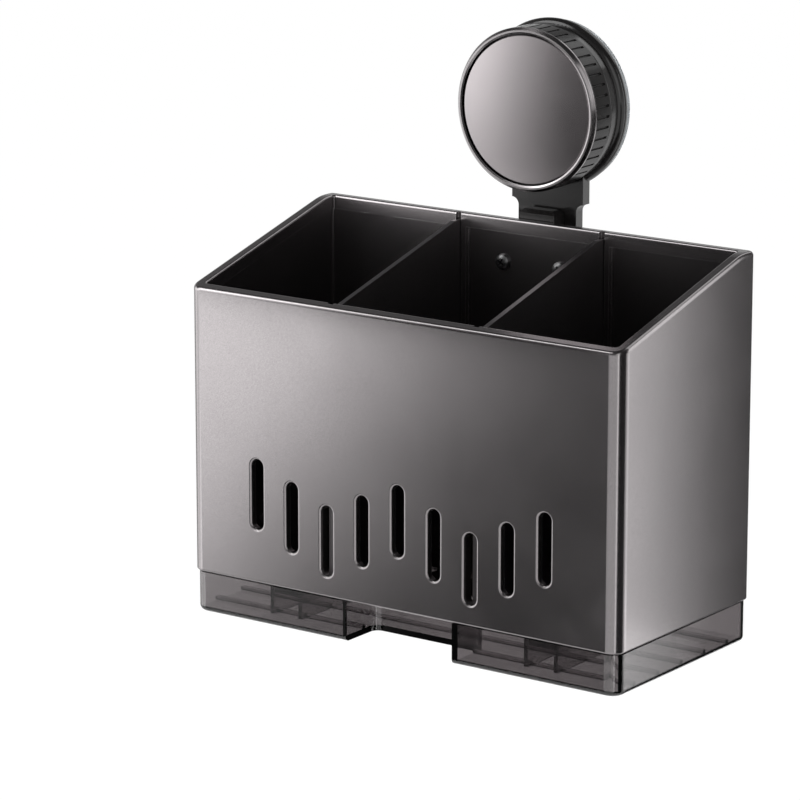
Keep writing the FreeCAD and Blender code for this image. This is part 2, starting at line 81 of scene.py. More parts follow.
class Mix(Enum):
    """What a mix node mixes, with its first, second and result sockets."""

    VALUE = ("FLOAT", 2, 3, 0)
    COLOUR = ("RGBA", 6, 7, 2)


class Span(NamedTuple):
    """Turns values from low to high into results from start to end, and holds them there outside."""

    low: float
    high: float
    start: float = 0.0
    end: float = 1.0


@dataclass(frozen=True)
class Noise:
    """Character of a noise pattern."""

    detail: float
    roughness: float = 0.5
    distortion: float = 0.0


@dataclass(frozen=True)
class Flake:
    """Inputs of the flake effect; scales are in cells per metre."""

    scale: float = 5000.0
    drift_scale: float = 22.0


@dataclass(frozen=True)
class Grain:
    """Inputs of the grain effect."""

    scale: float = 1800.0
    coarse_share: float = 0.5


@dataclass(frozen=True)
class Edge:
    """Inputs of the rubbed-edge effect, which also serves as painted highlight along edges."""

    radius: float = 0.8 * MM
    gain: float = 4.0
    patch_scale: float = 90.0


@dataclass(frozen=True)
class Handling:
    """Inputs of the effect of smears and hairlines."""

    smear_scale: float = 28.0
    hairline_scale: float = 60.0


@dataclass(frozen=True)
class Turned:
    """Inputs of the effect of turned rings."""

    ring_scale: float = 3000.0
    streak_scale: float = 3.0


Settings = Flake | Grain | Edge | Handling | Turned


def labelled(settings: Settings) -> dict[str, float]:
    """Names an effect's inputs as its node group does."""
    return {name.replace("_", " ").title(): value for name, value in asdict(settings).items()}


class NodeSheet:
    """Lays out and links the nodes of one material, world or group."""

    def __init__(self, tree: Tree) -> None:
        """Starts a sheet on a node tree.

        Args:
            tree: The tree that the nodes go into.
        """
        self.tree = tree
        self.source: Node | None = None
        self.target: Node | None = None

    def link(self, start: Socket, end: Socket) -> None:
        """Links an output socket to an input socket."""
        self.tree.links.new(start, end)

    def given(self, label: str) -> Socket:
        """Gives one of the group's own inputs by its name."""
        return self.source.outputs[label]

    def give(self, label: str, value: Socket) -> None:
        """Feeds a result into the target under its name."""
        self.link(value, self.target.inputs[label])

    def feed(self, socket: Socket, value: object) -> None:
        """Links or sets one input.

        Args:
            socket: The input socket.
            value: A socket to link from, or a plain value.
        """
        if isinstance(value, Socket):
            self.link(value, socket)
        elif socket.type == "RGBA":
            socket.default_value = (*value, 1.0)
        else:
            socket.default_value = value

    def fill(self, node: Node, **inputs: object) -> None:
        """Feeds several inputs of a node, as values or sockets by input name."""
        for label, value in inputs.items():
            self.feed(node.inputs[label.replace("_", " ")], value)

    def add(self, kind: str, **inputs: object) -> Node:
        """Adds a node and feeds its inputs.

        Args:
            kind: Blender's node type.
            **inputs: Values or sockets by input name.

        Returns:
            The new node.
        """
        node = self.tree.nodes.new(kind)
        self.fill(node, **inputs)
        return node

    def place(self) -> Socket:
        """Gives the place on the object, in its own metres."""
        return self.add("ShaderNodeTexCoord").outputs["Object"]

    def math(self, operation: str, first: object, second: object = 0.0, clamp: bool = False) -> Socket:
        """Adds one arithmetic node.

        Args:
            operation: Blender's operation name.
            first: First value or socket.
            second: Second value or socket.
            clamp: Whether the result is held between 0 and 1.

        Returns:
            The result socket.
        """
        node = self.add("ShaderNodeMath")
        node.operation = operation
        node.use_clamp = clamp
        self.feed(node.inputs[0], first)
        self.feed(node.inputs[1], second)
        return node.outputs[0]

    def raised(self, base: Socket, mask: Socket, gain: float) -> Socket:
        """Adds a mask, times a gain, to a value."""
        return self.math("ADD", base, self.math("MULTIPLY", mask, gain))

    def span(self, value: Socket, span: Span) -> Socket:
        """Maps a value from one range to another."""
        node = self.add("ShaderNodeMapRange", Value=value, From_Min=span.low, From_Max=span.high,
                        To_Min=span.start, To_Max=span.end)
        return node.outputs["Result"]

    def noise(self, kind: Noise, place: Socket, scale: object) -> Socket:
        """Adds a noise pattern and gives its value, from 0 to 1."""
        node = self.add("ShaderNodeTexNoise", Vector=place, Scale=scale, Detail=kind.detail,
                        Roughness=kind.roughness, Distortion=kind.distortion)
        return node.outputs["Fac"]

    def blend(self, share: object, first: object, second: object, mix: Mix = Mix.COLOUR) -> Socket:
        """Mixes two colours or values.

        Args:
            share: How much of the second.
            first: First colour, value or socket.
            second: Second colour, value or socket.
            mix: Which of the two kinds they are.

        Returns:
            The mixed socket.
        """
        node = self.add("ShaderNodeMix")
        node.data_type, from_first, from_second, result = mix.value
        self.feed(node.inputs[0], share)
        self.feed(node.inputs[from_first], first)
        self.feed(node.inputs[from_second], second)
        return node.outputs[result]

    def effect(self, effect: Effect, settings: Settings) -> Node:
        """Places a shared effect with its own values.

        Args:
            effect: The effect.
            settings: Its inputs.

        Returns:
            The group node.
        """
        node = self.add("ShaderNodeGroup")
        node.node_tree = EFFECTS.group(effect)
        for label, value in labelled(settings).items():
            node.inputs[label].default_value = value
        return node

    def seen(self, mirrored: object = 1.0) -> Socket:
        """Tells what the eye sees, straight, through clear plastic or in a reflection, from what only lights.

        Args:
            mirrored: How far reflections count, as a value or socket.

        Returns:
            1 where it is seen, otherwise 0.
        """
        path = self.add("ShaderNodeLightPath")
        straight = self.math("MAXIMUM", path.outputs["Is Camera Ray"], path.outputs["Is Transmission Ray"])
        return self.math("MAXIMUM", straight, self.math("MULTIPLY", path.outputs["Is Glossy Ray"], mirrored))

    def mix_shader(self, share: Socket, first: Node, second: Node) -> Node:
        """Mixes two shaders.

        Args:
            share: How much of the second.
            first: First shader.
            second: Second shader.

        Returns:
            The mixing node.
        """
        mix = self.add("ShaderNodeMixShader")
        for socket, value in zip(mix.inputs, (share, first.outputs[0], second.outputs[0])):
            self.link(value, socket)
        return mix

    def relief(self, height: Socket, depth: float) -> None:
        """Feeds a height into the target's normal, where a height of 1 stands for depth."""
        bump = self.add("ShaderNodeBump", Height=height, Distance=depth, Strength=1.0)
        self.give("Normal", bump.outputs["Normal"])

    def one_sided(self, front: Node) -> Node:
        """Makes a shader clear when seen from behind."""
        behind = self.add("ShaderNodeNewGeometry").outputs["Backfacing"]
        return self.mix_shader(behind, front, self.add("ShaderNodeBsdfTransparent"))


def blank_sheet(owner: Material | bpy.types.World) -> NodeSheet:
    """Starts the nodes of a material or world afresh.

    Args:
        owner: The material or world.

    Returns:
        An empty sheet on it.
    """
    owner.use_nodes = True
    owner.node_tree.nodes.clear()
    return NodeSheet(owner.node_tree)


class EffectShop:
    """Builds each shared shader group once and hands it out."""

    DRIFT = Noise(3.0, 0.55)
    FINE_GRAIN = Noise(2.0, 0.6)
    COARSE_GRAIN = Noise(1.0)
    COARSE_SCALE_SHARE = 0.13
    BEVEL_SAMPLES = 4
    PATCHES = Noise(4.0, 0.6)
    PATCH_SPAN = Span(0.35, 0.65, 0.25, 1.0)
    SMEAR = Noise(5.0, 0.65, 0.6)
    SMEAR_SPAN = Span(0.3, 0.7)
    HAIRLINE = Noise(2.0)
    HAIRLINE_TURN = (0.5, 0.35, 0.7)
    HAIRLINE_STRETCH = (1.0, 40.0, 1.0)
    HAIRLINE_SPAN = Span(0.66, 0.76)
    RING = Noise(3.0)
    STREAK = Noise(1.0)

    @cache
    def group(self, effect: Effect) -> Tree:
        """Gives the node group of an effect, building it on first use.

        Args:
            effect: The effect wanted.

        Returns:
            The shader node group.
        """
        builders = {
            Effect.FLAKE: self._flake, Effect.GRAIN: self._grain, Effect.EDGE: self._edge,
            Effect.HANDLING: self._handling, Effect.TURNED: self._turned}
        return builders[effect]()

    @staticmethod
    def _sheet(effect: Effect, settings: Settings, outputs: Sequence[str]) -> NodeSheet:
        """Makes an empty group with float sockets.

        Args:
            effect: The effect that it is for.
            settings: The inputs with their first values.
            outputs: Output names.

        Returns:
            A sheet for laying out the group's nodes.
        """
        tree = bpy.data.node_groups.new(effect.value, "ShaderNodeTree")
        for label, value in labelled(settings).items():
            socket = tree.interface.new_socket(name=label, in_out="INPUT", socket_type="NodeSocketFloat")
            socket.default_value = value
        for label in outputs:
            tree.interface.new_socket(name=label, in_out="OUTPUT", socket_type="NodeSocketFloat")
        sheet = NodeSheet(tree)
        sheet.source = sheet.add("NodeGroupInput")
        sheet.target = sheet.add("NodeGroupOutput")
        return sheet

    def _flake(self) -> Tree:
        """Random fine flakes, each with its own brightness, over a slow drift of tone.

        Returns:
            A group with the inputs of Flake, and outputs Flake and Drift.
        """
        sheet = self._sheet(Effect.FLAKE, Flake(), ("Flake", "Drift"))
        place = sheet.place()
        cells = sheet.add("ShaderNodeTexVoronoi", Vector=place, Scale=sheet.given("Scale"))
        parts = sheet.add("ShaderNodeSeparateColor", Color=cells.outputs["Color"])
        sheet.give("Flake", parts.outputs["Red"])
        sheet.give("Drift", sheet.noise(self.DRIFT, place, sheet.given("Drift Scale")))
        return sheet.tree

    def _grain(self) -> Tree:
        """Moulded skin: fine grain over a gentle unevenness.

        Returns:
            A group with the inputs of Grain, and output Height.
        """
        sheet = self._sheet(Effect.GRAIN, Grain(), ("Height",))
        place = sheet.place()
        fine = sheet.noise(self.FINE_GRAIN, place, sheet.given("Scale"))
        coarse_scale = sheet.math("MULTIPLY", sheet.given("Scale"), self.COARSE_SCALE_SHARE)
        coarse = sheet.noise(self.COARSE_GRAIN, place, coarse_scale)
        sheet.give("Height", sheet.blend(sheet.given("Coarse Share"), fine, coarse, Mix.VALUE))
        return sheet.tree

    def _edge(self) -> Tree:
        """Rubbed edges and painted edge highlights, broken up so that they do not read as an even line.

        Returns:
            A group with the inputs of Edge, and output Mask.
        """
        sheet = self._sheet(Effect.EDGE, Edge(), ("Mask",))
        bevel = sheet.add("ShaderNodeBevel", Radius=sheet.given("Radius"))
        bevel.samples = self.BEVEL_SAMPLES
        agreement = sheet.add("ShaderNodeVectorMath")
        agreement.operation = "DOT_PRODUCT"
        sheet.link(bevel.outputs["Normal"], agreement.inputs[0])
        sheet.link(sheet.add("ShaderNodeNewGeometry").outputs["Normal"], agreement.inputs[1])
        turn = sheet.math("SUBTRACT", 1.0, agreement.outputs["Value"])
        gained = sheet.math("MULTIPLY", turn, sheet.given("Gain"), clamp=True)
        patches = sheet.noise(self.PATCHES, sheet.place(), sheet.given("Patch Scale"))
        sheet.give("Mask", sheet.math("MULTIPLY", gained, sheet.span(patches, self.PATCH_SPAN)))
        return sheet.tree

    def _handling(self) -> Tree:
        """Soft smears and thin hairlines that change the gloss.

        Returns:
            A group with the inputs of Handling, and outputs Smear and Hairline.
        """
        sheet = self._sheet(Effect.HANDLING, Handling(), ("Smear", "Hairline"))
        place = sheet.place()
        smear = sheet.noise(self.SMEAR, place, sheet.given("Smear Scale"))
        drawn = sheet.add("ShaderNodeMapping", Vector=place, Rotation=self.HAIRLINE_TURN,
                          Scale=self.HAIRLINE_STRETCH)
        lines = sheet.noise(self.HAIRLINE, drawn.outputs["Vector"], sheet.given("Hairline Scale"))
        sheet.give("Smear", sheet.span(smear, self.SMEAR_SPAN))
        sheet.give("Hairline", sheet.span(lines, self.HAIRLINE_SPAN))
        return sheet.tree

    def _turned(self) -> Tree:
        """Fine rings about the suction axis, as a lathe leaves them.

        Returns:
            A group with the inputs of Turned, and outputs Ring and Streak.
        """
        sheet = self._sheet(Effect.TURNED, Turned(), ("Ring", "Streak"))
        parts = sheet.add("ShaderNodeSeparateXYZ", Vector=sheet.place())
        across, up = parts.outputs["X"], parts.outputs["Z"]
        squares = [sheet.math("MULTIPLY", side, side) for side in (across, up)]
        radius = sheet.math("SQRT", sheet.math("ADD", *squares))
        angle = sheet.math("ARCTAN2", up, across)
        outward = sheet.math("MULTIPLY", radius, sheet.given("Ring Scale"))
        around = sheet.math("MULTIPLY", angle, sheet.given("Streak Scale"))
        rings = sheet.add("ShaderNodeCombineXYZ", X=outward)
        streaks = sheet.add("ShaderNodeCombineXYZ", X=outward, Y=around)
        sheet.give("Ring", sheet.noise(self.RING, rings.outputs["Vector"], 1.0))
        sheet.give("Streak", sheet.noise(self.STREAK, streaks.outputs["Vector"], 1.0))
        return sheet.tree


EFFECTS = EffectShop()


# Finishes

@dataclass(frozen=True)
class Finish:
    """What every finish states: its name and its main colour."""

    name: str
    colour: Colour

    @cache
    def made(self) -> Material:
        """Gives the finish's one material, making it on first use.

        Returns:
            The finished material.
        """
        material = bpy.data.materials.new(self.name)
        material.diffuse_color = (*self.colour, 1.0)
        sheet = blank_sheet(material)
        sheet.target = sheet.add("ShaderNodeBsdfPrincipled")
        sheet.add("ShaderNodeOutputMaterial", Surface=sheet.target.outputs["BSDF"])
        self.paint(sheet)
        return material

    def paint(self, sheet: NodeSheet) -> None:
        """Lays out the look, each kind of finish in its own way."""
        raise NotImplementedError


@dataclass(frozen=True)
class PearlPlastic(Finish):
    """Gun-metal plastic with fine flake under a clear gloss."""

    deep: Colour
    worn: Colour
    metallic: float
    roughness: Pair
    coat: float
    coat_roughness: float
    flake: Flake = Flake(5200.0, 16.0)
    flake_span: Span = Span(0.0, 1.0, end=0.45)
    drift_span: Span = Span(0.35, 0.65, end=0.18)
    marks: Handling = Handling(24.0, 55.0)
    scratch_dulling: float = 0.012
    edge: Edge = Edge(0.6 * MM, 5.0, 70.0)
    edge_span: Span = Span(0.0, 1.0, end=0.8)
    edge_dulling: float = 0.05
    grain: Grain = Grain(1500.0, 0.6)
    relief_depth: float = 0.005 * MM

    def paint(self, sheet: NodeSheet) -> None:
        """Lays out the look.

        Args:
            sheet: The material's sheet, whose target is its surface shader.
        """
        flake = sheet.effect(Effect.FLAKE, self.flake)
        marks = sheet.effect(Effect.HANDLING, self.marks)
        rub_and_highlight = sheet.effect(Effect.EDGE, self.edge).outputs["Mask"]
        grain = sheet.effect(Effect.GRAIN, self.grain)
        speckled = sheet.blend(sheet.span(flake.outputs["Flake"], self.flake_span), self.colour, self.deep)
        drifted = sheet.blend(sheet.span(flake.outputs["Drift"], self.drift_span), speckled, self.deep)
        # Edges blend towards the pale edge colour: painted highlight along the edges and slot bevels, partly
        # rubbed wear.
        rubbed_and_lit = sheet.blend(sheet.span(rub_and_highlight, self.edge_span), drifted, self.worn)
        smeared = sheet.span(marks.outputs["Smear"], Span(0.0, 1.0, *self.roughness))
        scratched = sheet.raised(smeared, marks.outputs["Hairline"], self.scratch_dulling)
        sheet.fill(sheet.target, Base_Color=rubbed_and_lit, Roughness=sheet.raised(scratched, rub_and_highlight, self.edge_dulling),
                   Metallic=self.metallic, Coat_Weight=self.coat, Coat_Roughness=self.coat_roughness)
        sheet.relief(grain.outputs["Height"], self.relief_depth)


@dataclass(frozen=True)
class MouldedPlastic(Finish):
    """Plain moulded plastic, from gloss to satin, with a fine skin and rubbed edges."""

    worn: Colour
    roughness: Pair
    flake: Flake = Flake(drift_scale=35.0)
    drift_span: Span = Span(0.3, 0.7, end=0.3)
    marks: Handling = Handling(45.0, 80.0)
    edge: Edge = Edge(0.6 * MM, 3.0, 160.0)
    edge_span: Span = Span(0.0, 1.0, end=0.6)
    edge_dulling: float = 0.12
    grain: Grain = Grain(2200.0, 0.4)
    relief_depth: float = 0.02 * MM
    specular: float = 0.5
    coat: float = 0.0

    def paint(self, sheet: NodeSheet) -> None:
        """Lays out the look.

        Args:
            sheet: The material's sheet, whose target is its surface shader.
        """
        drift = sheet.effect(Effect.FLAKE, self.flake).outputs["Drift"]
        smear = sheet.effect(Effect.HANDLING, self.marks).outputs["Smear"]
        rub_and_highlight = sheet.effect(Effect.EDGE, self.edge).outputs["Mask"]
        grain = sheet.effect(Effect.GRAIN, self.grain)
        drifted = sheet.blend(sheet.span(drift, self.drift_span), self.colour, self.worn)
        rubbed_and_lit = sheet.blend(sheet.span(rub_and_highlight, self.edge_span), drifted, self.worn)
        smeared = sheet.span(smear, Span(0.0, 1.0, *self.roughness))
        sheet.fill(sheet.target, Base_Color=rubbed_and_lit, Roughness=sheet.raised(smeared, rub_and_highlight, self.edge_dulling),
                   Specular_IOR_Level=self.specular, Coat_Weight=self.coat)
        sheet.relief(grain.outputs["Height"], self.relief_depth)


@dataclass(frozen=True)
class SpunMetal(Finish):
    """Metal turned on a lathe about the suction axis."""

    bright: Colour
    roughness: Pair
    turned: Turned
    ring_range: Pair = (0.3, 0.7)
    streak_span: Span = Span(0.3, 0.7, end=0.2)
    marks: Handling = Handling(60.0, 120.0)
    smear_dulling: float = 0.05
    edge: Edge = Edge(0.4 * MM, 3.0, 200.0)
    edge_span: Span = Span(0.0, 1.0, end=0.9)
    relief_depth: float = 0.004 * MM
    metallic: float = 1.0
    coat: float = 0.0

    def paint(self, sheet: NodeSheet) -> None:
        """Lays out the look.

        Args:
            sheet: The material's sheet, whose target is its surface shader.
        """
        turned = sheet.effect(Effect.TURNED, self.turned)
        smear = sheet.effect(Effect.HANDLING, self.marks).outputs["Smear"]
        rub_and_highlight = sheet.effect(Effect.EDGE, self.edge).outputs["Mask"]
        ringed = sheet.blend(sheet.span(turned.outputs["Streak"], self.streak_span), self.colour, self.bright)
        rubbed_and_lit = sheet.blend(sheet.span(rub_and_highlight, self.edge_span), ringed, self.bright)
        brushed = sheet.span(turned.outputs["Ring"], Span(*self.ring_range, *self.roughness))
        sheet.fill(sheet.target, Base_Color=rubbed_and_lit, Metallic=self.metallic, Coat_Weight=self.coat,
                   Roughness=sheet.raised(brushed, smear, self.smear_dulling))
        sheet.relief(turned.outputs["Ring"], self.relief_depth)


@dataclass(frozen=True)
class PlatedMetal(Finish):
    """Small turned or plated fittings with scuffed edges."""

    worn: Colour
    roughness: Pair
    marks: Handling = Handling(240.0, 420.0)
    scuff_span: Span = Span(0.0, 1.0, end=0.5)
    edge: Edge = Edge(0.3 * MM, 3.0, 500.0)
    edge_dulling: float = 0.15
    grain: Grain = Grain(5200.0, 0.3)
    relief_depth: float = 0.008 * MM

    def paint(self, sheet: NodeSheet) -> None:
        """Lays out the look.

        Args:
            sheet: The material's sheet, whose target is its surface shader.
        """
        smear = sheet.effect(Effect.HANDLING, self.marks).outputs["Smear"]
        rub_and_highlight = sheet.effect(Effect.EDGE, self.edge).outputs["Mask"]
        grain = sheet.effect(Effect.GRAIN, self.grain)
        scuffed = sheet.blend(sheet.span(smear, self.scuff_span), self.colour, self.worn)
        dulled = sheet.span(smear, Span(0.0, 1.0, *self.roughness))
        sheet.fill(sheet.target, Base_Color=scuffed, Roughness=sheet.raised(dulled, rub_and_highlight, self.edge_dulling),
                   Metallic=1.0)
        sheet.relief(grain.outputs["Height"], self.relief_depth)


@dataclass(frozen=True)
class SoftRubber(Finish):
    """Elastomer with a dull bloom; a little light passes through where it is clear."""

    bloom: Colour
    roughness: Pair
    flake: Flake = Flake(1200.0, 60.0)
    bloom_span: Span = Span(0.35, 0.7, end=0.6)
    marks: Handling = Handling(90.0, 150.0)
    smear_range: Pair = (0.0, 1.0)
    grain: Grain = Grain(2600.0, 0.45)
    relief_depth: float = 0.03 * MM
    transmission: float = 0.0
    ior: float = 1.42

    def paint(self, sheet: NodeSheet) -> None:
        """Lays out the look.

        Args:
            sheet: The material's sheet, whose target is its surface shader.
        """
        drift = sheet.effect(Effect.FLAKE, self.flake).outputs["Drift"]
        smear = sheet.effect(Effect.HANDLING, self.marks).outputs["Smear"]
        grain = sheet.effect(Effect.GRAIN, self.grain)
        bloomed = sheet.blend(sheet.span(drift, self.bloom_span), self.colour, self.bloom)
        sheet.fill(sheet.target, Base_Color=bloomed, Transmission_Weight=self.transmission, IOR=self.ior,
                   Roughness=sheet.span(smear, Span(*self.smear_range, *self.roughness)))
        sheet.relief(grain.outputs["Height"], self.relief_depth)


@dataclass(frozen=True)
class ClearMoulding(SoftRubber):
    """Smoke-tinted clear plastic, darker the longer the way through it, with a haze for its bloom."""

    flake: Flake = Flake(1600.0, 18.0)
    bloom_span: Span = Span(0.35, 0.65)
    marks: Handling = Handling(30.0, 70.0)
    smear_range: Pair = (0.2, 1.0)
    grain: Grain = Grain(240.0, 0.6)
    relief_depth: float = 0.003 * MM
    transmission: float = 1.0
    ior: float = 1.6
    smoke: Colour = (0.16, 0.12, 0.13)
    density: float = 480.0

    def paint(self, sheet: NodeSheet) -> None:
        """Lays out the look.

        Args:
            sheet: The material's sheet, whose target is its surface shader.
        """
        super().paint(sheet)
        inside = sheet.add("ShaderNodeVolumeAbsorption", Color=self.smoke, Density=self.density)
        sheet.fill(sheet.tree.get_output_node("ALL"), Volume=inside.outputs["Volume"])


# The near-white edge colour of the gunmetal is a painted highlight along its edges and slot bevels, over some
# edge wear.
GUNMETAL = PearlPlastic(
    "gunmetal_pearl", (0.277, 0.2605, 0.2645), deep=(0.157, 0.144, 0.148), worn=(0.80, 0.78, 0.785),
    metallic=0.97, roughness=(0.19, 0.225), coat=0.25, coat_roughness=0.08)
# A darker copy of the gunmetal finish: painted shade for the dividers, which stand inside the dim
# compartments.
DIVIDER_SHADED = PearlPlastic(
    "divider_gunmetal_shaded", (0.135, 0.125, 0.128), deep=(0.073, 0.067, 0.069), worn=(0.26, 0.245, 0.25),
    metallic=0.9, roughness=(0.28, 0.36), coat=0.2, coat_roughness=0.2)
MOUNT_BLACK = MouldedPlastic(
    "mount_gloss_black", (0.011, 0.010, 0.010), worn=(0.05, 0.048, 0.048), roughness=(0.13, 0.20),
    specular=0.45, coat=0.15)
GRIP_BLACK = MouldedPlastic(
    "grip_satin_black", (0.011, 0.010, 0.010), worn=(0.05, 0.047, 0.047), roughness=(0.16, 0.25),
    grain=Grain(3000.0, 0.4), edge=Edge(0.3 * MM, 3.0, 160.0), specular=0.25)
ACETAL = MouldedPlastic(
    "acetal_white", (0.74, 0.74, 0.72), worn=(0.58, 0.57, 0.54), roughness=(0.32, 0.45))
BEZEL = SpunMetal(
    "bezel_gunmetal", (0.20, 0.186, 0.19), bright=(0.72, 0.70, 0.705), roughness=(0.13, 0.18),
    turned=Turned(2600.0, 2.0))
FACE = SpunMetal(
    "face_smoked", (0.239, 0.221, 0.226), bright=(0.27, 0.25, 0.255), roughness=(0.16, 0.20),
    turned=Turned(3400.0, 2.0), relief_depth=0.001 * MM, metallic=0.95, coat=0.2)
STEEL = PlatedMetal("zinc_steel", (0.48, 0.48, 0.47), worn=(0.30, 0.30, 0.29), roughness=(0.24, 0.42))
BLACK_STEEL = PlatedMetal(
    "blackened_steel", (0.11, 0.11, 0.112), worn=(0.20, 0.20, 0.20), roughness=(0.28, 0.44))
BRASS = PlatedMetal("brass_insert", (0.62, 0.44, 0.18), worn=(0.42, 0.29, 0.12), roughness=(0.25, 0.42))
PAD = SoftRubber(
    "pad_clear_gel", (0.74, 0.77, 0.79), bloom=(0.60, 0.63, 0.66), roughness=(0.18, 0.34), transmission=0.55)
RUBBER = SoftRubber(
    "stand_off_rubber", (0.025, 0.025, 0.026), bloom=(0.055, 0.055, 0.055), roughness=(0.55, 0.75))
SMOKE = ClearMoulding(
    "smoke_clear", (0.93, 0.915, 0.92), bloom=(0.87, 0.855, 0.86), roughness=(0.0, 0.015))


# Mesh work

class Axis(Enum):
    """Which way a turned piece points, from its head towards its tip, as a turn about X from +Z."""

    TO_WALL = -QUARTER_TURN
    DOWN = 2 * QUARTER_TURN


def placing(axis: Axis, origin: Vector) -> Matrix:
    """Gives the placing of a piece whose own Z axis is to point along an axis."""
    return Matrix.Translation(origin) @ Matrix.Rotation(axis.value, 4, "X")


def turned_mesh(profile: Sequence[Point], segments: int) -> BMesh:
    """Turns a profile that starts and ends on the axis about Z into a closed skin.

    Args:
        profile: Radius and height of each step.
        segments: Steps round the axis.

    Returns:
        The mesh under construction.
    """
    mesh = bmesh.new()
    rings: list[list[bmesh.types.BMVert]] = []
    for radius, height in profile:
        angles = [2 * math.pi * step / segments for step in range(segments)] if radius > 0.0 else [0.0]
        rings.append([mesh.verts.new((radius * math.cos(angle), radius * math.sin(angle), height))
                      for angle in angles])
    for first, second in zip(rings, rings[1:]):
        for step in range(segments):
            after = (step + 1) % segments
            if len(first) == 1:
                mesh.faces.new((first[0], second[after], second[step]))
            elif len(second) == 1:
                mesh.faces.new((first[step], first[after], second[0]))
            else:
                mesh.faces.new((first[step], first[after], second[after], second[step]))
    bmesh.ops.recalc_face_normals(mesh, faces=mesh.faces)
    return mesh


def rounded(profile: Sequence[Point], trims: Sequence[float], steps: int) -> list[Point]:
    """Rounds the corners of a profile.

    Args:
        profile: The corner points.
        trims: How far from each corner its rounding starts, 0 to leave it sharp.
        steps: Steps along each rounding.

    Returns:
        The points with each chosen corner replaced by a curve.
    """
    result: list[Point] = []
    for place, (point, trim) in enumerate(zip(profile, trims)):
        if trim <= 0.0:
            result.append(point)
            continue
        corner = Vector(point)
        back = (Vector(profile[place - 1]) - corner).normalized() * trim
        ahead = (Vector(profile[place + 1]) - corner).normalized() * trim
        for step in range(steps + 1):
            share = step / steps
            spot = corner + back * (1 - share) ** 2 + ahead * share ** 2
            result.append((spot.x, spot.y))
    return result


def placed(name: str, mesh: BMesh, material: Material) -> Object:
    """Turns a mesh under construction into an object in the scene.

    Args:
        name: The object's name.
        mesh: The mesh under construction, which is freed.
        material: Its material.

    Returns:
        The new object.
    """
    data = bpy.data.meshes.new(name)
    mesh.to_mesh(data)
    mesh.free()
    data.materials.append(material)
    piece = bpy.data.objects.new(name, data)
    bpy.context.scene.collection.objects.link(piece)
    return piece


def finished(name: str, mesh: BMesh, finish: Finish, sharp_angle: float = math.radians(35)) -> Object:
    """Turns a mesh under construction into a smoothly shaded piece.

    Args:
        name: The piece's name.
        mesh: The mesh under construction, which is freed.
        finish: Its finish.
        sharp_angle: Edges that turn by more than this stay sharp.

    Returns:
        The new piece.
    """
    piece = placed(name, mesh, finish.made())
    piece.data.shade_smooth()
    piece.data.set_sharp_from_angle(angle=sharp_angle)
    return piece


def dress(node: str, finish: Finish) -> None:
    """Gives a CAD node its finish.

    Args:
        node: The node's name.
        finish: The finish.
    """
    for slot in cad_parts[node].material_slots:
        slot.material = finish.made()
    LOG.info("dressed %s with %s", node, finish.name)


def seat(piece: Object, body: str, slot: str, *nodes: str) -> None:
    """Puts a made piece on its body in place of CAD nodes.

    Args:
        piece: The piece.
        body: The body that it rides on.
        slot: The record's material slot; not used.
        *nodes: The CAD nodes that it stands for.
    """
    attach(piece, body)
    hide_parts(*nodes)
    LOG.info("piece %s rides on %s for %s", piece.name, body, ", ".join(nodes))


# Sub-assemblies

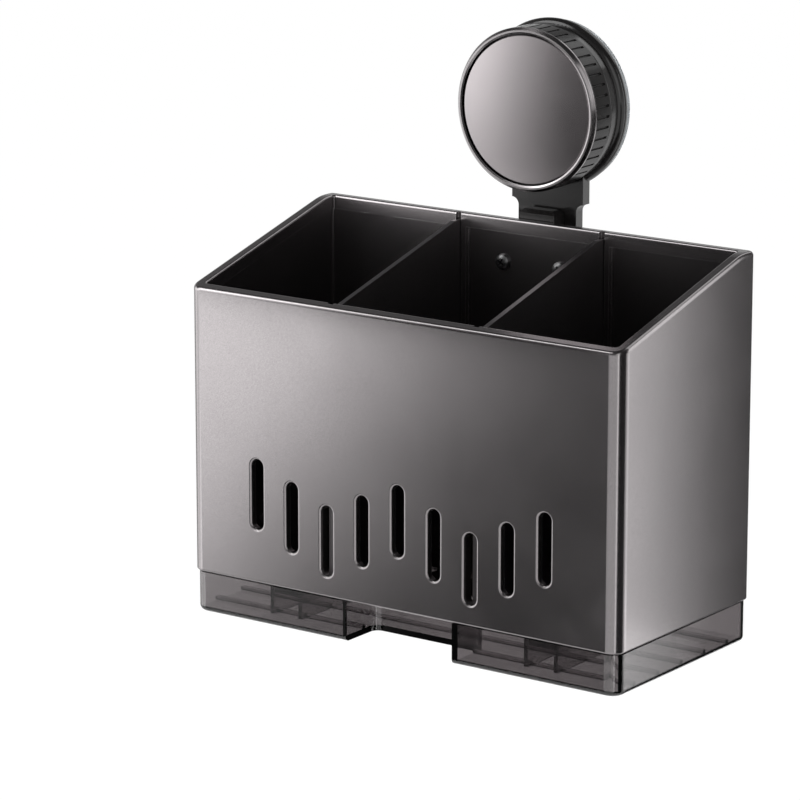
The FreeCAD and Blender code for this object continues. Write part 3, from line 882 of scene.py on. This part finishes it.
@dataclass
class PanScrew:
    """Pan-head screw with a cross recess."""

    head_radius: float = 2.9 * MM
    head_height: float = 1.8 * MM
    head_flat_share: float = 0.55
    crown_drop: float = 0.77 * MM
    crown_trim: float = 0.56 * MM
    flat_trim: float = 0.5 * MM
    bearing_trim: float = 0.08 * MM
    shank_radius: float = 1.45 * MM
    tip_share: float = 0.5
    recess_reach: float = 1.75 * MM
    recess_width: float = 0.62 * MM
    recess_depth: float = 1.25 * MM
    recess_overrun: float = 0.3 * MM
    recess_taper_share: float = 0.45
    first_turn: float = 0.5
    next_turn: float = 0.9
    rounding_steps: int = 5
    segments: int = 40

    def build(self, length: float) -> BMesh:
        """Makes one screw whose head bears at height 0 and whose shank runs along +Z.

        Args:
            length: Shank length in metres.

        Returns:
            The mesh under construction.
        """
        top = -self.head_height
        tip = self.shank_radius * self.tip_share
        corners = [
            (0.0, top), (self.head_radius * self.head_flat_share, top),
            (self.head_radius, top + self.crown_drop), (self.head_radius, 0.0), (self.shank_radius, 0.0),
            (self.shank_radius, length - tip), (tip, length), (0.0, length)]
        trims = [0.0, self.flat_trim, self.crown_trim, self.bearing_trim, 0.0, 0.0, 0.0, 0.0]
        profile = rounded(corners, trims, self.rounding_steps)
        body = finished("screw_blank", turned_mesh(profile, self.segments), BLACK_STEEL)
        cutter = finished("screw_recess", self._recess(), BLACK_STEEL)
        cut = body.modifiers.new("recess", "BOOLEAN")
        cut.operation = "DIFFERENCE"
        cut.solver = "EXACT"
        cut.object = cutter
        bpy.context.view_layer.update()
        shaped = body.evaluated_get(bpy.context.evaluated_depsgraph_get()).to_mesh()
        mesh = bmesh.new()
        mesh.from_mesh(shaped)
        for spare in (body, cutter):
            data = spare.data
            bpy.data.objects.remove(spare)
            bpy.data.meshes.remove(data)
        return mesh

    def _recess(self) -> BMesh:
        """Makes the tapered cross that is cut into the head.

        Returns:
            The cutter under construction.
        """
        reach, half = self.recess_reach, self.recess_width / 2
        outline = []
        for quarter in range(4):
            turn = Matrix.Rotation(quarter * QUARTER_TURN, 2)
            for x, y in ((reach, -half), (reach, half), (half, half)):
                outline.append(turn @ Vector((x, y)))
        mesh = bmesh.new()
        mouth = -self.head_height - self.recess_overrun
        foot = -self.head_height + self.recess_depth
        levels = []
        for height, share in ((mouth, 1.0), (foot, self.recess_taper_share)):
            levels.append([mesh.verts.new((spot.x * share, spot.y * share, height)) for spot in outline])
        count = len(outline)
        for step in range(count):
            after = (step + 1) % count
            mesh.faces.new((levels[0][step], levels[0][after], levels[1][after], levels[1][step]))
        mesh.faces.new(levels[0])
        mesh.faces.new(levels[1])
        bmesh.ops.recalc_face_normals(mesh, faces=mesh.faces)
        return mesh

    def set_of(self, name: str, places: Sequence[Vector], axis: Axis, length: float) -> Object:
        """Makes a set of screws as one piece, each driven home at its own angle.

        Args:
            name: The piece's name.
            places: Where each head bears.
            axis: The way that the shanks point.
            length: Shank length.

        Returns:
            The piece.
        """
        master = self.build(length)
        whole = bmesh.new()
        for index, place in enumerate(places):
            copy = master.copy()
            turn = Matrix.Rotation(self.first_turn + self.next_turn * index, 4, "Z")
            copy.transform(placing(axis, place) @ turn)
            data = bpy.data.meshes.new("screw_copy")
            copy.to_mesh(data)
            copy.free()
            whole.from_mesh(data)
            bpy.data.meshes.remove(data)
        master.free()
        return finished(name, whole, BLACK_STEEL)


@dataclass
class WallMount:
    """Suction pad, stud and pressure housing that stay on the wall."""

    pad_radius: float = 29.6 * MM
    pad_edge: float = 1.0 * MM
    pad_flat: float = 5.0 * MM
    pad_middle: float = 2.4 * MM
    boss_radius: float = 8.5 * MM
    boss_height: float = 5.2 * MM
    stud_radius: float = 4.0 * MM
    flange_radius: float = 6.0 * MM
    flange_low: float = 1.2 * MM
    flange_high: float = 2.8 * MM
    cup_radius: float = 14.0 * MM
    cup_depth: float = 0.35 * MM
    cup_shoulder_radius: float = 15.0 * MM
    cup_shoulder_depth: float = 0.22 * MM
    cup_rim_radius: float = 16.2 * MM
    seal_rings: tuple[float, ...] = (22.8 * MM, 25.2 * MM, 27.6 * MM)
    ring_depth: float = 0.28 * MM
    ring_half: float = 0.55 * MM
    ring_floor_share: float = 0.4
    lip_trims: Pair = (0.35 * MM, 0.45 * MM)
    slope_trims: Pair = (1.5 * MM, 0.8 * MM)
    boss_trim: float = 0.7 * MM
    stud_trim: float = 0.2 * MM
    rounding_steps: int = 4
    segments: int = 120

    def pad_profile(self) -> list[Point]:
        """Lays out the pad from the middle of its wall face round to the stud's flange.

        Returns:
            Radius and height above the wall of each step.
        """
        face = [(0.0, self.cup_depth), (self.cup_radius, self.cup_depth),
                (self.cup_shoulder_radius, self.cup_shoulder_depth), (self.cup_rim_radius, 0.0)]
        floor_half = self.ring_half * self.ring_floor_share
        for ring in self.seal_rings:
            face += [(ring - self.ring_half, 0.0), (ring - floor_half, self.ring_depth),
                     (ring + floor_half, self.ring_depth), (ring + self.ring_half, 0.0)]
        corners = [
            face[-1], (self.pad_radius, 0.0), (self.pad_radius, self.pad_edge),
            (self.pad_radius - self.pad_flat, self.pad_edge), (self.boss_radius, self.pad_middle),
            (self.boss_radius, self.boss_height), (self.stud_radius, self.boss_height),
            (self.stud_radius, self.flange_high), (self.flange_radius, self.flange_high),
            (self.flange_radius, self.flange_low), (0.0, self.flange_low)]
        trims = [0.0, *self.lip_trims, *self.slope_trims, self.boss_trim, self.stud_trim, 0.0,
                 self.stud_trim, self.stud_trim, 0.0]
        return face + rounded(corners, trims, self.rounding_steps)[1:]

    def build(self) -> None:
        """Makes the pad and dresses the CAD nodes."""
        mesh = turned_mesh(self.pad_profile(), self.segments)
        mesh.transform(Matrix.Rotation(QUARTER_TURN, 4, "X"))
        pad = finished("suction_pad_gel", mesh, PAD)
        seat(pad, "wall_mount", "soft_pad", "suction_pad")
        dress("mount_housing", MOUNT_BLACK)
        dress("pad_stud", STEEL)


class TwistKnob:
    """Ribbed knob with its insert, bright bezel, face and slip washer."""

    def build(self) -> None:
        """Dresses the knob's CAD nodes."""
        dress("knob_grip", GRIP_BLACK)
        dress("knob_nut", BRASS)
        dress("knob_bezel", BEZEL)
        dress("knob_face", FACE)
        dress("thrust_washer", ACETAL)


@dataclass
class StandOff:
    """Push-in rubber foot that keeps the caddy's back upright on the wall."""

    base_radius: float = 7.0 * MM
    base_trim: float = 0.5 * MM
    tip_radius: float = 5.5 * MM
    tip_trim: float = 0.9 * MM
    length: float = 14.0 * MM
    stem_radius: float = 2.5 * MM
    wall: float = 2.8 * MM
    head_radius: float = 3.6 * MM
    head: float = 1.4 * MM
    head_flat_share: float = 0.7
    head_taper_share: float = 0.45
    head_trims: tuple[float, float, float] = (0.4 * MM, 0.25 * MM, 0.2 * MM)
    groove: float = 0.5 * MM
    groove_middles: tuple[float, ...] = (4.2 * MM, 7.2 * MM, 10.2 * MM)
    groove_mouth_half: float = 0.8 * MM
    groove_floor_half: float = 0.35 * MM
    groove_trim: float = 0.18 * MM
    dimple: float = 0.7 * MM
    dimple_mouth_share: float = 0.62
    dimple_floor_share: float = 0.5
    dimple_trim: float = 0.3 * MM
    rounding_steps: int = 3
    segments: int = 64

    def profile(self) -> list[Point]:
        """Lays out the foot from the middle of its head to the middle of its tip.

        Returns:
            Radius and height from the shell's back of each step.
        """
        def side(height: float) -> float:
            """Radius of the tapering side at a height."""
            return self.base_radius + (self.tip_radius - self.base_radius) * height / self.length

        grooves = []
        for middle in self.groove_middles:
            for shift, depth in ((-self.groove_mouth_half, 0.0), (-self.groove_floor_half, self.groove),
                                 (self.groove_floor_half, self.groove), (self.groove_mouth_half, 0.0)):
                grooves.append((side(middle + shift) - depth, middle + shift))
        end = -self.wall - self.head
        dimple_floor = self.length - self.dimple
        corners = [
            (0.0, end), (self.head_radius * self.head_flat_share, end),
            (self.head_radius, -self.wall - self.head * self.head_taper_share),
            (self.head_radius, -self.wall), (self.stem_radius, -self.wall), (self.stem_radius, 0.0),
            (self.base_radius, 0.0), *grooves, (self.tip_radius, self.length),
            (self.tip_radius * self.dimple_mouth_share, self.length),
            (self.tip_radius * self.dimple_floor_share, dimple_floor), (0.0, dimple_floor)]
        trims = [0.0, *self.head_trims, 0.0, 0.0, self.base_trim, *[self.groove_trim] * len(grooves),
                 self.tip_trim, self.dimple_trim, self.dimple_trim, 0.0]
        return rounded(corners, trims, self.rounding_steps)

    def build(self, name: str, place: Vector) -> Object:
        """Makes one foot.

        Args:
            name: The piece's name.
            place: Where its axis meets the shell's back.

        Returns:
            The piece.
        """
        mesh = turned_mesh(self.profile(), self.segments)
        mesh.transform(placing(Axis.TO_WALL, place))
        return finished(name, mesh, RUBBER)


@dataclass
class Caddy:
    """Moulded shell with its dividers, receiver, runners, screws and rubber feet."""

    back: float = -14.0 * MM
    inner_back: float = -16.8 * MM
    inner_floor: float = -160.9 * MM
    ear_screw: float = 7.2 * MM
    runner_screw: float = 7.0 * MM

    def build(self) -> None:
        """Makes the feet and screws and dresses the CAD nodes."""
        for name in ("left", "right"):
            low, high = (Vector(corner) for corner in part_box(f"{name}_bumper"))
            middle = (low + high) / 2
            foot = StandOff().build(f"{name}_rubber_foot", Vector((middle.x, self.back, middle.z)))
            seat(foot, "caddy", "soft_rubber", f"{name}_bumper")
            dress(f"{name}_divider", DIVIDER_SHADED)
            dress(f"{name}_runner", MOUNT_BLACK)
        screw = PanScrew()
        low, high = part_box("receiver_screws")
        level = (low[2] + high[2]) / 2
        ears = [Vector((x, self.inner_back, level))
                for x in (low[0] + screw.head_radius, high[0] - screw.head_radius)]
        seat(screw.set_of("receiver_pan_screws", ears, Axis.TO_WALL, self.ear_screw),
             "caddy", "steel", "receiver_screws")
        low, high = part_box("runner_screws")
        floor = [Vector((x, y, self.inner_floor))
                 for x in (low[0] + screw.head_radius, high[0] - screw.head_radius)
                 for y in (low[1] + screw.head_radius, high[1] - screw.head_radius)]
        seat(screw.set_of("runner_pan_screws", floor, Axis.DOWN, self.runner_screw),
             "caddy", "steel", "runner_screws")
        dress("caddy_shell", GUNMETAL)
        dress("hanger_receiver", MOUNT_BLACK)


class DripTray:
    """Clear tray that slides under the caddy."""

    def build(self) -> None:
        """Dresses the tray."""
        dress("drip_tray", SMOKE)


# Studio

@dataclass(frozen=True)
class SoftCard:
    """Glowing card, unseen by the camera, whose strength runs across it, leaning with height."""

    name: str
    centre: Place
    facing: Place
    width: float
    height: float
    ramp: tuple[Point, ...]
    fade: Pair = (1.0, 1.0)
    lean: float = 0.0
    unit_half: float = 0.5

    def build(self) -> None:
        """Makes the card and hides it from the camera, from shadows and from transmission."""
        mesh = bmesh.new()
        bmesh.ops.create_grid(mesh, x_segments=1, y_segments=1, size=self.unit_half)
        card = placed(self.name, mesh, self._glow())
        card.rotation_euler = Vector(self.facing).to_track_quat("Z", "Y").to_euler()
        card.location = self.centre
        card.scale = (self.width, self.height, 1.0)
        card.visible_camera = False
        card.visible_shadow = False
        card.visible_transmission = False

    def _glow(self) -> Material:
        """Makes the card's graded glow.

        Returns:
            The material.
        """
        material = bpy.data.materials.new(self.name)
        sheet = blank_sheet(material)
        parts = sheet.add("ShaderNodeSeparateXYZ", Vector=sheet.place())
        strength = self._graded(sheet, sheet.raised(parts.outputs["X"], parts.outputs["Y"], self.lean))
        fade = sheet.span(parts.outputs["Y"], Span(-self.unit_half, self.unit_half, *self.fade))
        emission = sheet.add("ShaderNodeEmission", Strength=sheet.math("MULTIPLY", strength, fade))
        sheet.add("ShaderNodeOutputMaterial", Surface=sheet.one_sided(emission).outputs[0])
        return material

    def _graded(self, sheet: NodeSheet, place: Socket) -> Socket:
        """Grades the strength along the card.

        Args:
            sheet: The material's sheet.
            place: Position from the middle, in widths.

        Returns:
            The strength socket.
        """
        total: Socket | float = self.ramp[0][1]
        for (start, low), (end, high) in zip(self.ramp, self.ramp[1:]):
            step = sheet.span(place, Span(start - self.unit_half, end - self.unit_half, 0.0, high - low))
            total = sheet.math("ADD", step, total)
        return total


@dataclass(frozen=True)
class SoftLamp:
    """Round soft lamp."""

    name: str
    place: Place
    size: float
    power: float

    def build(self, target: Vector) -> None:
        """Hangs the lamp.

        Args:
            target: What it points at.
        """
        light = bpy.data.lights.new(self.name, "AREA")
        light.shape = "DISK"
        light.size = self.size
        light.energy = self.power
        lamp = bpy.data.objects.new(self.name, light)
        lamp.location = self.place
        lamp.rotation_euler = (target - Vector(self.place)).to_track_quat("-Z", "Y").to_euler()
        bpy.context.scene.collection.objects.link(lamp)


LAMPS = (
    SoftLamp("key", (-0.75, -0.75, 1.05), size=0.9, power=7.0),
    SoftLamp("fill", (0.95, -0.9, 0.6), size=1.0, power=2.5),
    SoftLamp("back", (0.2, 0.9, 0.9), size=1.0, power=3.0))

CARDS = (
    SoftCard("front_card", (-0.420, -0.450, -0.220), (0.0, 1.0, 0.0), width=0.66, height=0.56,
             ramp=((0.0, 0.02), (0.14, 0.05), (0.195, 0.2), (0.256, 0.48), (0.30, 1.0), (0.377, 2.25),
                   (0.46, 2.75), (0.62, 2.65), (0.82, 1.3), (1.0, 0.8)), lean=0.76),
    SoftCard("knob_card", (-0.125, -0.200, 0.010), (0.0, 1.0, 0.0), width=0.30, height=0.20,
             ramp=((0.0, 0.06), (0.357, 0.13), (0.517, 1.3), (0.677, 3.4), (1.0, 4.2)), fade=(0.45, 1.9)),
    SoftCard("side_card", (0.230, 0.100, -0.175), (0.0, -1.0, 0.0), width=0.26, height=0.65,
             ramp=((0.0, 0.05), (0.22, 0.08), (0.28, 0.18), (0.34, 0.6), (0.40, 1.2), (0.45, 1.75),
                   (0.6, 2.0), (1.0, 2.0)), fade=(0.8, 1.2)),
    SoftCard("tray_card", (0.230, 0.096, -0.247), (0.0, -1.0, 0.0), width=0.26, height=0.05,
             ramp=((0.0, 0.0), (0.28, 0.1), (0.36, 1.4), (0.45, 2.8), (1.0, 2.8))),
    SoftCard("corner_card", (0.456, -0.440, -0.200), (-0.73, 0.68, 0.0), width=0.11, height=0.60,
             ramp=((0.0, 0.0), (0.3, 2.8), (0.7, 2.8), (1.0, 0.0))),
    SoftCard("right_card", (0.140, -0.106, -0.120), (-1.0, 0.0, 0.0), width=0.062, height=0.24,
             ramp=((0.0, 0.03), (1.0, 0.03))),
    SoftCard("left_card", (-0.750, -0.125, -0.100), (1.0, 0.0, 0.0), width=0.65, height=0.80,
             ramp=((0.0, 2.6), (0.48, 2.6), (0.56, 1.5), (0.70, 0.6), (1.0, 0.5)), fade=(0.6, 1.2)),
    SoftCard("back_card", (0.0, 0.600, -0.260), (0.0, -1.0, 0.0), width=1.20, height=0.32,
             ramp=((0.0, 0.25), (0.4, 0.45), (0.6, 1.1), (1.0, 1.6))))


@dataclass
class Studio:
    """Pale floor, soft lights, graded cards and the camera."""

    floor_z: float = -0.420
    floor_radius: float = 8.0
    floor_segments: int = 96
    floor_colour: Colour = (0.86, 0.86, 0.86)
    floor_glow: float = 1.045
    floor_glow_share: float = 0.95
    sky_span: Span = Span(0.05, 0.7, 0.6, 0.06)
    mirrored_span: Span = Span(0.02, 0.15, 1.0, 0.0)
    lamp_target: Place = (0.0, -0.05, -0.09)
    camera_place: Place = (0.8080, -1.2203, 0.2507)
    yaw: float = 35.71
    pitch: float = 13.79
    lens: float = 189.0
    sensor_width: float = 36.0
    clip_end: float = 60.0

    def build(self) -> None:
        """Sets up the whole stage."""
        bpy.context.scene.view_settings.view_transform = "Standard"
        self._camera()
        self._world()
        self._floor()
        for lamp in LAMPS:
            lamp.build(Vector(self.lamp_target))
        for card in CARDS:
            card.build()

    def _camera(self) -> None:
        """Places the camera at the photograph's viewing angle."""
        lens = bpy.data.cameras.new("view")
        lens.lens = self.lens
        lens.sensor_width = self.sensor_width
        lens.clip_end = self.clip_end
        camera = bpy.data.objects.new("view", lens)
        camera.location = self.camera_place
        camera.rotation_euler = (QUARTER_TURN - math.radians(self.pitch), 0.0, math.radians(self.yaw))
        bpy.context.scene.collection.objects.link(camera)
        bpy.context.scene.camera = camera

    def _world(self) -> None:
        """Makes the surroundings white to the eye and dim, darker overhead, as light."""
        world = bpy.data.worlds.new("studio")
        bpy.context.scene.world = world
        sheet = blank_sheet(world)
        way = sheet.add("ShaderNodeTexCoord").outputs["Generated"]
        up = sheet.add("ShaderNodeSeparateXYZ", Vector=way).outputs["Z"]
        seen = sheet.seen(sheet.span(up, self.mirrored_span))
        strength = sheet.blend(seen, sheet.span(up, self.sky_span), 1.0, Mix.VALUE)
        background = sheet.add("ShaderNodeBackground", Color=(1.0, 1.0, 1.0), Strength=strength)
        sheet.add("ShaderNodeOutputWorld", Surface=background.outputs[0])

    def _floor(self) -> None:
        """Makes the pale floor, white to the eye but still shaded by the object, and clear from below."""
        mesh = bmesh.new()
        bmesh.ops.create_circle(mesh, cap_ends=True, radius=self.floor_radius, segments=self.floor_segments)
        material = bpy.data.materials.new("floor_pale")
        sheet = blank_sheet(material)
        diffuse = sheet.add("ShaderNodeBsdfDiffuse", Color=self.floor_colour)
        glow = sheet.add("ShaderNodeEmission", Strength=self.floor_glow)
        share = sheet.math("MULTIPLY", sheet.seen(), self.floor_glow_share)
        lit = sheet.mix_shader(share, diffuse, glow)
        sheet.add("ShaderNodeOutputMaterial", Surface=sheet.one_sided(lit).outputs[0])
        floor = placed("floor", mesh, material)
        floor.location = (0.0, 0.0, self.floor_z)


def main() -> None:
    """Builds the sub-assemblies in order, logging each, then the studio."""
    logging.basicConfig(level=logging.INFO, format="%(name)s: %(message)s")
    for assembly in (WallMount(), TwistKnob(), Caddy(), DripTray()):
        assembly.build()
        LOG.info("built %s", type(assembly).__name__)
    Studio().build()


if __name__ == "__main__":
    main()
